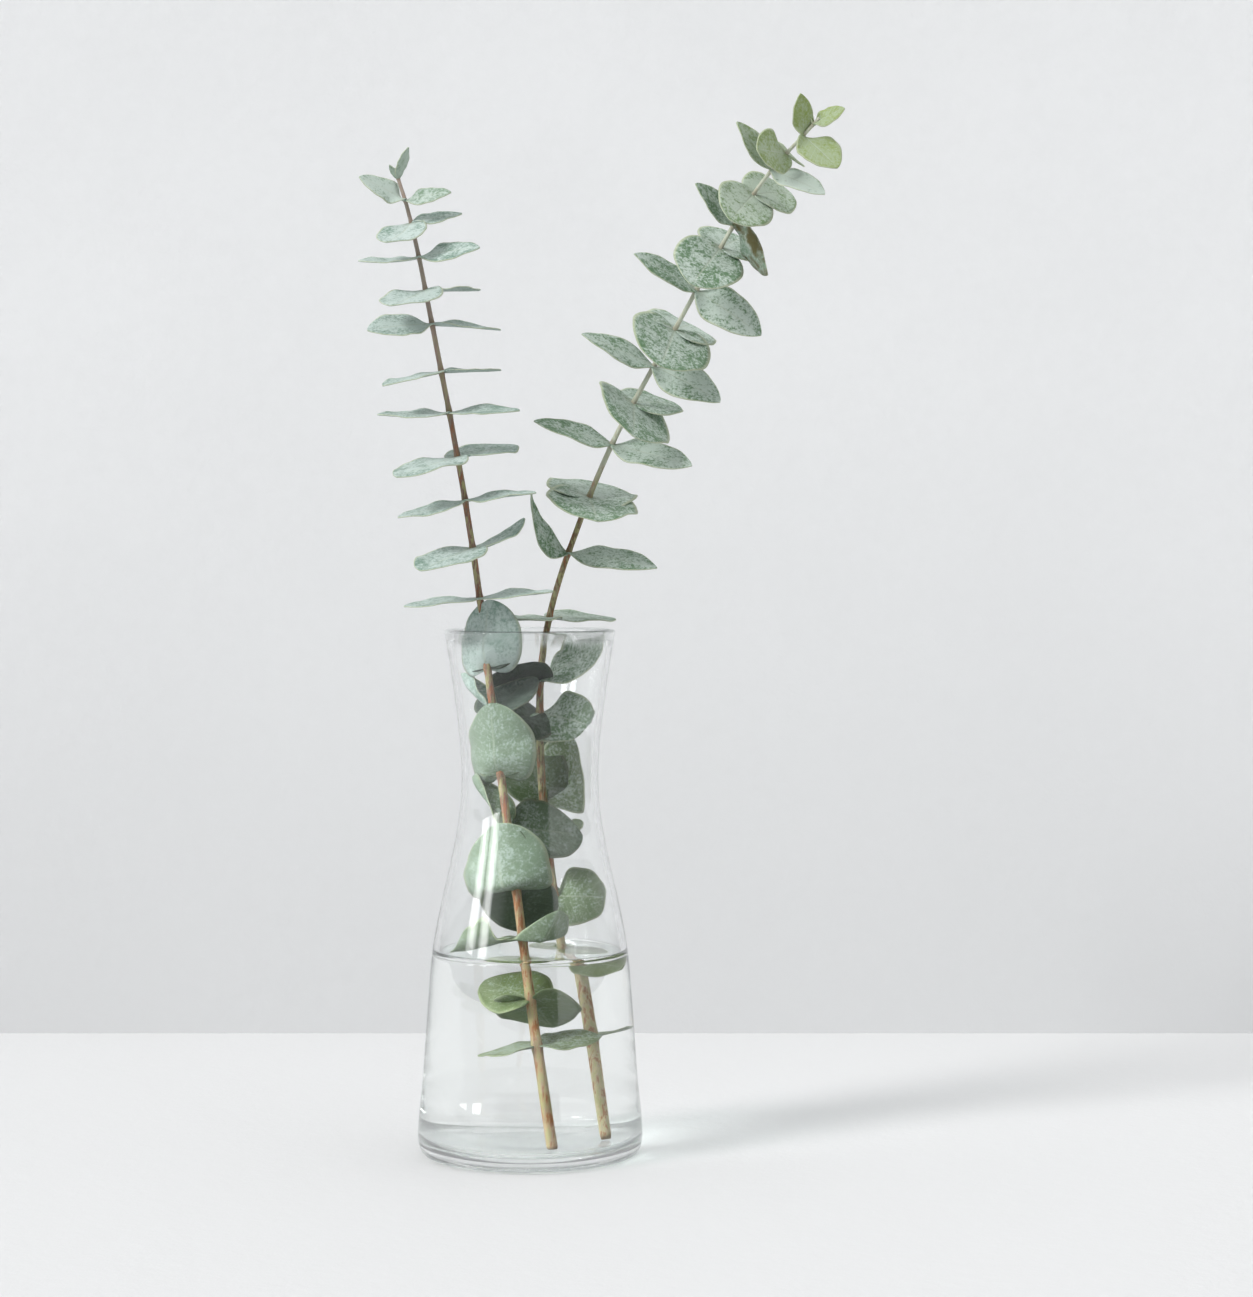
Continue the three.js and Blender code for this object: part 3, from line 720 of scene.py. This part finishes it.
def clear_material(name, tint, shade, ior, ripple, thin=0.0):
    """Glass or water: clear, with faint waves, and letting light through to what it holds."""
    material, wire = new_material(name)
    place = wire.node("ShaderNodeTexCoord", None, None, "Object")
    waves = place.scaled((1, 1, 0.35)).noise(45, 2.0)
    smudge = place.noise(120, 5.0, 0.6).ramp(0.55, 0.8)
    bump = wire.node("ShaderNodeBump", None, {"Strength": ripple, "Distance": 0.001, "Height": waves})
    clear = wire.node("ShaderNodeBsdfPrincipled", None, {
        "Base Color": tint, "Roughness": smudge * 0.012, "IOR": ior, "Transmission Weight": 1.0,
        "Normal": bump})
    pane = wire.node("ShaderNodeBsdfTransparent", None, {"Color": tint})
    height = place.parts()[2]
    ends = (height.ramp(*RIM_BAND) + (1.0 - height.ramp(*HEEL_BAND)) * HEEL_SHARE) * thin
    body = wire.node("ShaderNodeMixShader", None, {0: ends, 1: clear, 2: pane})
    passed = wire.node("ShaderNodeBsdfTransparent", None, {"Color": shade})
    shadow = wire.node("ShaderNodeLightPath", None, None, "Is Shadow Ray")
    set_surface(wire, wire.node("ShaderNodeMixShader", None, {0: shadow, 1: body, 2: passed}))
    return material


def leaf_material(name, deep, pale, young):
    """A waxy leaf: mottled bloom, a midrib with side veins, a thin pale rim and a duller underside, with
    painted shade at the base, on crowded leaves and inside the vase.
    """
    material, wire = new_material(name)
    u, v, under = attribute(wire, "leaf").parts()
    tone, age, dry = attribute(wire, "tone").parts()
    shade, olive, _ = attribute(wire, "place").parts()
    place = wire.node("ShaderNodeTexCoord", None, None, "Object")
    shifted = place.moved(attribute(wire, "tone").scaled(0.37))
    cloud = shifted.noise(150, 6.0, 0.62, 0.6)
    distance = abs(v)
    blotch = shifted.noise(420, 4.0, 0.65, 0.3)
    speck = shifted.noise(1100, 3.0, 0.7)
    frost = (1.0 - distance) * 0.35 - u * 0.3
    # the tone of each leaf sets its wax, which is partly painted light and shade
    wax = cloud * 2.1 + blotch * 1.7 + speck * 3.2 + frost + tone - 3.52
    bloom = wax.ramp(0.0, 1.0)
    slant = u * 9.0 - distance * 2.3 + cloud * 0.35
    comb = abs(slant.sum("FRACT", slant) - 0.5)
    side_vein = (1.0 - comb.ramp(0.0, 0.11)) * (1.0 - distance.ramp(0.72, 0.98)) * u.ramp(0.02, 0.1)
    net = shifted.node("ShaderNodeTexVoronoi", {"feature": "DISTANCE_TO_EDGE"},
                       {"Vector": shifted, "Scale": 700.0})
    net = 1.0 - net.ramp(0.0, 0.12)
    midrib = (1.0 - distance.ramp(0.012, 0.05)) * (1.0 - u.ramp(0.75, 1.0))
    rim = distance.ramp(0.90, 0.985) * u.ramp(0.03, 0.12)
    # olive mixes in the painted shade and tint of the leaves inside the vase, stronger in the water
    shaded_deep = olive.mix(deep, LEAF_TINTS["shaded_deep"])
    old = bloom.mix(shaded_deep, pale)
    fresh = (bloom * 0.35).mix(young, pale)
    blade_colour = age.mix(old, fresh)
    veined = (side_vein * 0.20 + net * 0.07).mix(blade_colour, pale)
    ribbed = (midrib * 0.5).mix(veined, LEAF_TINTS["rib"])
    rimmed = (rim * 0.75).mix(ribbed, LEAF_TINTS["rim"])
    # painted shade at the base of the blade, next to the stem
    base = (1.0 - u.ramp(0.0, 0.16)) * (1.0 - distance.ramp(0.3, 0.9))
    base_shade = (base * 0.5).mix(rimmed, LEAF_TINTS["base_shade"])
    dull = (under * 0.35).mix(base_shade, LEAF_TINTS["underside"])
    speckled = shifted.noise(420, 3.0, 0.5).ramp(0.70, 0.78)
    spots = (speckled * 0.35).mix(dull, LEAF_TINTS["spot"])
    dried = (dry * cloud.ramp(0.35, 0.6)).mix(spots, LEAF_TINTS["dry"])
    green = (olive * 0.6).mix(dried, LEAF_TINTS["olive"])
    colour = shade.mix(green, LEAF_TINTS["shade"])
    height = cloud * 0.35 + speck * 0.25 - side_vein * 0.35 - midrib * 0.8
    bump = wire.node("ShaderNodeBump", None, {"Strength": 0.35, "Distance": 0.0004, "Height": height})
    skin = wire.node("ShaderNodeBsdfPrincipled", None, {
        "Base Color": colour, "Roughness": 0.46 + bloom * 0.22, "Specular IOR Level": 0.18,
        "Sheen Weight": 0.04, "Sheen Roughness": 0.5, "Normal": bump})
    through = wire.node("ShaderNodeBsdfTranslucent", None, {"Color": LEAF_TINTS["through"]})
    lit = (1.0 - shade) * 0.14
    set_surface(wire, wire.node("ShaderNodeMixShader", None, {0: lit, 1: skin, 2: through}))
    return material


def stem_material(name, wet, bark, tip, light, turn):
    """Bark that changes along the stem, with fine lengthwise lines, paler flecks and a fresh cut end."""
    material, wire = new_material(name)
    t, height, node = attribute(wire, "stem").parts()
    place = wire.node("ShaderNodeTexCoord", None, None, "Object")
    lines = place.scaled((1, 1, 0.12)).noise(1400, 4.0, 0.6)
    cloud = place.scaled((1, 1, 0.5)).noise(130, 5.0, 0.6)
    dry = (height + cloud * 30.0 - 15.0).ramp(62.0, 118.0)
    young = (height + cloud * 24.0 - 12.0).ramp(*turn)
    skin = young.mix(dry.mix(wet, bark), tip)
    streak = place.scaled((1, 1, 0.22)).noise(700, 4.0, 0.65)
    woody = 1.0 - young * 0.9
    green = (streak.ramp(0.49, 0.57) * woody * 0.75).mix(skin, STEM_TINTS["green"])
    red = ((1.0 - streak.ramp(0.40, 0.48)) * woody * 0.85).mix(green, STEM_TINTS["red"])
    lined = (lines.ramp(0.48, 0.68) * 0.6).mix(red, light)
    ringed = (node * 0.5).mix(lined, STEM_TINTS["node"])
    cut = 1.0 - t.ramp(0.0005, 0.004)
    colour = (cut * 0.85).mix(ringed, STEM_TINTS["cut"])
    relief = lines * 0.7 + cloud * 0.5
    bump = wire.node("ShaderNodeBump", None, {"Strength": 0.5, "Distance": 0.0004, "Height": relief})
    set_surface(wire, wire.node("ShaderNodeBsdfPrincipled", None, {
        "Base Color": colour, "Roughness": 0.5 + lines * 0.2, "Specular IOR Level": 0.4, "Normal": bump}))
    return material


def stage_material(name, colour, foot=1.0, single=False, front=False):
    """Matt paint with faint clouds: painted shade at its foot, clear from behind or dark to mirrors in
    front.
    """
    material, wire = new_material(name)
    place = wire.node("ShaderNodeTexCoord", None, None, "Object")
    cloud = place.noise(7, 6.0, 0.65)
    grain = place.noise(160, 4.0, 0.7)
    tone = (cloud * 0.7 + grain * 0.3).ramp(0.3, 0.7)
    # painted shade: the colour darkens towards the foot, by height
    shade = place.parts()[2].ramp(-0.05, 0.33)
    bump = wire.node("ShaderNodeBump", None, {"Strength": 0.25, "Distance": 0.001, "Height": grain})
    darker = tuple(c * 0.96 for c in colour)
    low = tuple(c * foot for c in colour)
    paint = wire.node("ShaderNodeBsdfPrincipled", None, {
        "Base Color": shade.mix(low, tone.mix(darker, colour)), "Roughness": 0.7 + grain * 0.2,
        "Specular IOR Level": 0.2, "Normal": bump})
    if single:
        behind = wire.node("ShaderNodeNewGeometry", None, None, "Backfacing")
        clear = wire.node("ShaderNodeBsdfTransparent", None, None)
        paint = wire.node("ShaderNodeMixShader", None, {0: behind, 1: paint, 2: clear})
    if front:
        sharp = wire.node("ShaderNodeLightPath", None, None, "Is Singular Ray")
        mirrored = wire.node("ShaderNodeLightPath", None, None, "Is Reflection Ray")
        near = (0.0 - place.parts()[1]).ramp(0.1, 0.3)
        dark = wire.node("ShaderNodeBsdfDiffuse", None, {"Color": FRONT_GREY})
        paint = wire.node("ShaderNodeMixShader", None, {0: sharp * mirrored * near, 1: paint, 2: dark})
    set_surface(wire, paint)
    return material


def studio_light(strength, dim, veil, top):
    """Even light from all round, with a darker room in front of the vase."""
    world = bpy.data.worlds.new("studio")
    world.use_nodes = True
    world.node_tree.nodes.clear()
    wire = Wire(world.node_tree)
    x, y, z = wire.node("ShaderNodeTexCoord", None, None, "Generated").parts()
    aside = x / (x * x + y * y + 0.001) ** 0.5
    front = (0.0 - y).ramp(0.05, 0.3) * (1.0 - z.ramp(0.35, 0.65))
    right = aside.ramp(0.53, 0.57)
    room = front * aside.ramp(-0.7, -0.45) * (1.0 - right)
    amount = strength - room * (strength * dim) + front * right * veil + z.ramp(0.3, 0.95) * top
    back = wire.node("ShaderNodeBackground", None, {"Color": (0.97, 0.985, 1.0), "Strength": amount})
    out = wire.tree.nodes.new("ShaderNodeOutputWorld")
    wire.tree.links.new(back.socket, out.inputs["Surface"])
    return world


# Operators
class EUCALYPTUS_OT_vase(Operator):
    """Build the glass vase"""

    bl_idname = "eucalyptus.vase"
    bl_label = "Glass vase"

    def execute(self, context):
        s = context.scene.eucalyptus_vase
        profile = np.vstack([fine_profile(OUTSIDE, SPACING), fine_profile(INSIDE, SPACING)])
        points, faces = lathe(profile, s.sides)
        glass = clear_material("glass", s.tint, s.shade, s.ior, GLASS_RIPPLE, s.thin)
        new_mesh("vase_glass", points, faces, {}, glass, "bottle")
        return {"FINISHED"}


class EUCALYPTUS_OT_water(Operator):
    """Build the water with its raised edge"""

    bl_idname = "eucalyptus.water"
    bl_label = "Water"

    def execute(self, context):
        s = context.scene.eucalyptus_water
        level = s.level / MM
        reach = s.overlap / MM
        rise = s.meniscus / MM
        sides = context.scene.eucalyptus_vase.sides
        inner = fine_profile(INSIDE, SPACING)[::-1]
        wall = [(r + reach if r > WALL_RADIUS else r, z - reach) for r, z in inner if z - reach < level]
        wall[0] = (0.0, wall[0][1])
        edge = wall[-1][0]
        wall.append((inside_radius(level) + reach, level + rise))
        depths = np.concatenate([np.linspace(0.15, 6, 20), np.linspace(7.5, edge - 1, 22)])
        surface = [(edge - d, level + rise * math.exp(-d / MENISCUS_FALL)) for d in depths]
        profile = np.array(wall + surface + [(0.0, level)])
        points, faces = lathe(profile, sides)
        first = 1 + (len(wall) - 1) * sides
        climb, radius, fall = STEM_CLIMB
        for line in (Line(LEFT_LINE), Line(RIGHT_LINE)):
            centre = line.at(line.reach(level))[:2]
            away = np.linalg.norm(points[first:, :2] - centre, axis=1)
            points[first:, 2] += climb * np.exp(-np.maximum(0, away - radius) / fall)
        water = clear_material("water", s.tint, WATER_SHADOW, s.ior, WATER_RIPPLE)
        new_mesh("vase_water", points, faces, {}, water, "water")
        return {"FINISHED"}


def stem_mesh(line, pairs, s, seed):
    """Points, faces and stem coordinates of a tapering stem with swollen nodes."""
    sides = STEM_SIDES
    rings = STEM_RINGS
    nodes = np.array([line.reach(p[0]) for p in pairs])
    low, high = BARK_WAVES
    points = []
    coords = []
    for t in np.linspace(0, 1, rings):
        axis = line.tangent(t)
        first = across(np.array((1.0, 0, 0)), axis)
        second = np.cross(axis, first)
        near = float(np.exp(-((np.abs(nodes - t) / NODE_REACH) ** 2)).max())
        taper = s.cut_radius + (s.tip_radius - s.cut_radius) * t**STEM_TAPER
        radius = (taper + s.swelling * near * (1 - SWELLING_LOSS * t)) / MM
        for k in range(sides):
            a = 2 * math.pi * k / sides
            rough = 1 + low[0] * math.sin(low[1] * a + low[2] * t + seed)
            rough += high[0] * math.sin(high[1] * a + high[2] * t)
            end = min(1.0, CUT_BEVEL[0] + t / CUT_BEVEL[1])
            out = first * math.cos(a) + second * math.sin(a)
            points.append(line.at(t) + out * radius * rough * end)
            coords.append((t, points[-1][2], near))
    faces = []
    for i in range(rings - 1):
        for k in range(sides):
            n = (k + 1) % sides
            faces.append((i * sides + k, i * sides + n, (i + 1) * sides + n, (i + 1) * sides + k))
    faces.append(tuple(range(sides))[::-1])
    faces.append(tuple((rings - 1) * sides + k for k in range(sides)))
    return points, faces, coords


class EUCALYPTUS_OT_stems(Operator):
    """Build the two woody stems"""

    bl_idname = "eucalyptus.stems"
    bl_label = "Stems"

    def execute(self, context):
        s = context.scene.eucalyptus_stem
        for side, line, pairs in BRANCHES:
            wet, bark, tip = (getattr(s, side + part) for part in ("_wet", "_bark", "_tip"))
            skin = stem_material("bark_" + side, wet, bark, tip, STEM_LIGHT[side], STEM_TURN[side])
            points, faces, coords = stem_mesh(Line(line), pairs, s, len(pairs))
            new_mesh("stem_" + side, points, faces, {"stem": coords}, skin, "branch_" + side)
        return {"FINISHED"}


def leaf_tone(side, pair, leaf, height, level, seed):
    """Wax, youth and dryness of a leaf, and its painted inner shade and olive tint; the wax is partly
    painted light and shade.
    """
    start, pairs = AGE[side]
    age = min(1.0, max(0.0, start - pair / pairs))
    wet = min(1.0, max(0.0, (level + SOAK - height) / SOAK))
    # painted shade and tint inside the vase, stronger in the water
    olive = np.interp(height, OLIVE_RISE, (OLIVE[0], 0.0)) + (OLIVE[1] - OLIVE[0]) * wet
    crowded = leaf == 1 and CROWDED[0] < height < CROWDED[1]
    shade = crowded * np.interp(height, NECK, INNER_SHADE)
    # thinner wax inside the vase is partly painted shade in the glass; the extra wax of the first left
    # leaves is painted light from the left
    wax = np.interp(height, NECK, WAX_AND_PAINTED_LIGHT["inside"]) if height < RIM_HEIGHT else WAX_AND_PAINTED_LIGHT[side][leaf]
    wax += WAX_SPREAD * (chance(seed + 9) - 0.5) + WAX_AND_PAINTED_LIGHT["wet"] * wet
    wax += np.interp(height, LOWEST, (WAX_AND_PAINTED_LIGHT["lowest"], 0.0))
    if (side, pair, leaf) == PALE_LEAF:
        wax += PALE_WAX
        age = 0.0
    return (wax, age, (side, pair, leaf) == DRY_LEAF), (shade, olive, 0)


class EUCALYPTUS_OT_leaves(Operator):
    """Build the leaves of both stems"""

    bl_idname = "eucalyptus.leaves"
    bl_label = "Leaves"

    def execute(self, context):
        s = context.scene.eucalyptus_leaf
        level = context.scene.eucalyptus_water.level / MM
        for side, points, pairs in BRANCHES:
            deep = getattr(s, side + "_deep")
            pale = getattr(s, side + "_pale")
            skin = leaf_material("leaf_" + side, deep, pale, s.young)
            line = Line(points)
            all_points, all_faces, all_coords, all_tones, all_places = [], [], [], [], []
            count = 0
            for k, (height, *leaves) in enumerate(pairs):
                for i, leaf in enumerate(leaves):
                    seed = PAIR_SEED * k + LEAF_SEED * i + (0 if side == "left" else RIGHT_SEED)
                    p, f, c = blade(line, side, height, leaf, seed, s)
                    tone, place = leaf_tone(side, k, i, height, level, seed)
                    all_points.append(p)
                    all_faces.append(f + count)
                    all_coords.append(c)
                    all_tones.append(np.tile(tone, (len(p), 1)))
                    all_places.append(np.tile(place, (len(p), 1)))
                    count += len(p)
            new_mesh("leaves_" + side, np.vstack(all_points), np.vstack(all_faces),
                     {"leaf": np.vstack(all_coords), "tone": np.vstack(all_tones),
                      "place": np.vstack(all_places)}, skin, "branch_" + side)
        return {"FINISHED"}


def add_light(kind, name, place, **settings):
    """A light at a place, turned to the middle of the vase."""
    light = bpy.data.lights.new(name, kind)
    for key, value in settings.items():
        setattr(light, key, value)
    lamp = bpy.data.objects.new(name, light)
    lamp.location = place
    lamp.rotation_euler = (Vector(AIM) - Vector(place)).to_track_quat("-Z", "Y").to_euler()
    bpy.context.scene.collection.objects.link(lamp)
    return lamp


def panel_mesh(name, corners, material):
    """A flat panel of the stage."""
    mesh = bpy.data.meshes.new(name)
    mesh.from_pydata(corners, [], [(0, 1, 2, 3)])
    mesh.materials.append(material)
    made = bpy.data.objects.new(name, mesh)
    bpy.context.scene.collection.objects.link(made)


class EUCALYPTUS_OT_stage(Operator):
    """Set the floor, wall, lights and camera"""

    bl_idname = "eucalyptus.stage"
    bl_label = "Stage"

    def execute(self, context):
        scene = context.scene
        s = scene.eucalyptus_stage
        scene.view_settings.view_transform = "Standard"
        low = FLOOR_LEVEL
        far = STAGE_REACH
        floor = [(-far, -far, low), (far, -far, low), (far, far, low), (-far, far, low)]
        panel_mesh("floor", floor, stage_material("floor_paint", FLOOR_GREY, front=True))
        wall = [(-far, s.wall, low), (far, s.wall, low), (far, s.wall, far), (-far, s.wall, far)]
        panel_mesh("wall", wall, stage_material("wall_paint", WALL_GREY, WALL_FOOT, True))
        scene.world = studio_light(s.sky, s.dim, s.veil, s.top)
        key = add_light("SUN", "key", KEY_PLACE, energy=s.key, angle=math.radians(KEY_ANGLE))
        key.visible_glossy = False
        wide, high = WINDOW_SIZE
        for k, place in enumerate(WINDOW_PLACES):
            window = add_light("AREA", "window_%d" % k, place, shape="RECTANGLE", size=wide, size_y=high,
                               energy=s.window)
            window.visible_diffuse = False
        scene.cycles.max_bounces = BOUNCES
        scene.cycles.transmission_bounces = BOUNCES
        camera = bpy.data.cameras.new("camera")
        camera.lens = s.lens
        camera.sensor_width = SENSOR
        eye = bpy.data.objects.new("camera", camera)
        eye.location = s.eye
        eye.rotation_euler = (math.pi / 2 - s.pitch, 0, 0)
        scene.collection.objects.link(eye)
        scene.camera = eye
        return {"FINISHED"}


class EUCALYPTUS_PT_panel(Panel):
    """Lists what builds the plant and its vase"""

    bl_idname = "EUCALYPTUS_PT_panel"
    bl_label = "Eucalyptus in a vase"
    bl_space_type = "VIEW_3D"
    bl_region_type = "UI"
    bl_category = "Eucalyptus"

    def draw(self, context):
        for operator, settings in STEPS:
            box = self.layout.box()
            box.operator(operator.bl_idname)
            group = getattr(context.scene, settings)
            for key in group.bl_rna.properties.keys():
                if key not in ("rna_type", "name"):
                    box.prop(group, key)


GROUPS = {
    "eucalyptus_vase": VaseSettings,
    "eucalyptus_water": WaterSettings,
    "eucalyptus_stem": StemSettings,
    "eucalyptus_leaf": LeafSettings,
    "eucalyptus_stage": StageSettings,
}
STEPS = [
    (EUCALYPTUS_OT_vase, "eucalyptus_vase"),
    (EUCALYPTUS_OT_water, "eucalyptus_water"),
    (EUCALYPTUS_OT_stems, "eucalyptus_stem"),
    (EUCALYPTUS_OT_leaves, "eucalyptus_leaf"),
    (EUCALYPTUS_OT_stage, "eucalyptus_stage"),
]


def register():
    for name, group in GROUPS.items():
        bpy.utils.register_class(group)
        setattr(bpy.types.Scene, name, PointerProperty(type=group))
    for operator, _ in STEPS:
        bpy.utils.register_class(operator)
    bpy.utils.register_class(EUCALYPTUS_PT_panel)


def unregister():
    bpy.utils.unregister_class(EUCALYPTUS_PT_panel)
    for operator, _ in reversed(STEPS):
        bpy.utils.unregister_class(operator)
    for name, group in reversed(GROUPS.items()):
        delattr(bpy.types.Scene, name)
        bpy.utils.unregister_class(group)


def main():
    register()
    bpy.ops.eucalyptus.vase()
    bpy.ops.eucalyptus.water()
    bpy.ops.eucalyptus.stems()
    bpy.ops.eucalyptus.leaves()
    bpy.ops.eucalyptus.stage()


if __name__ == "__main__":
    main()
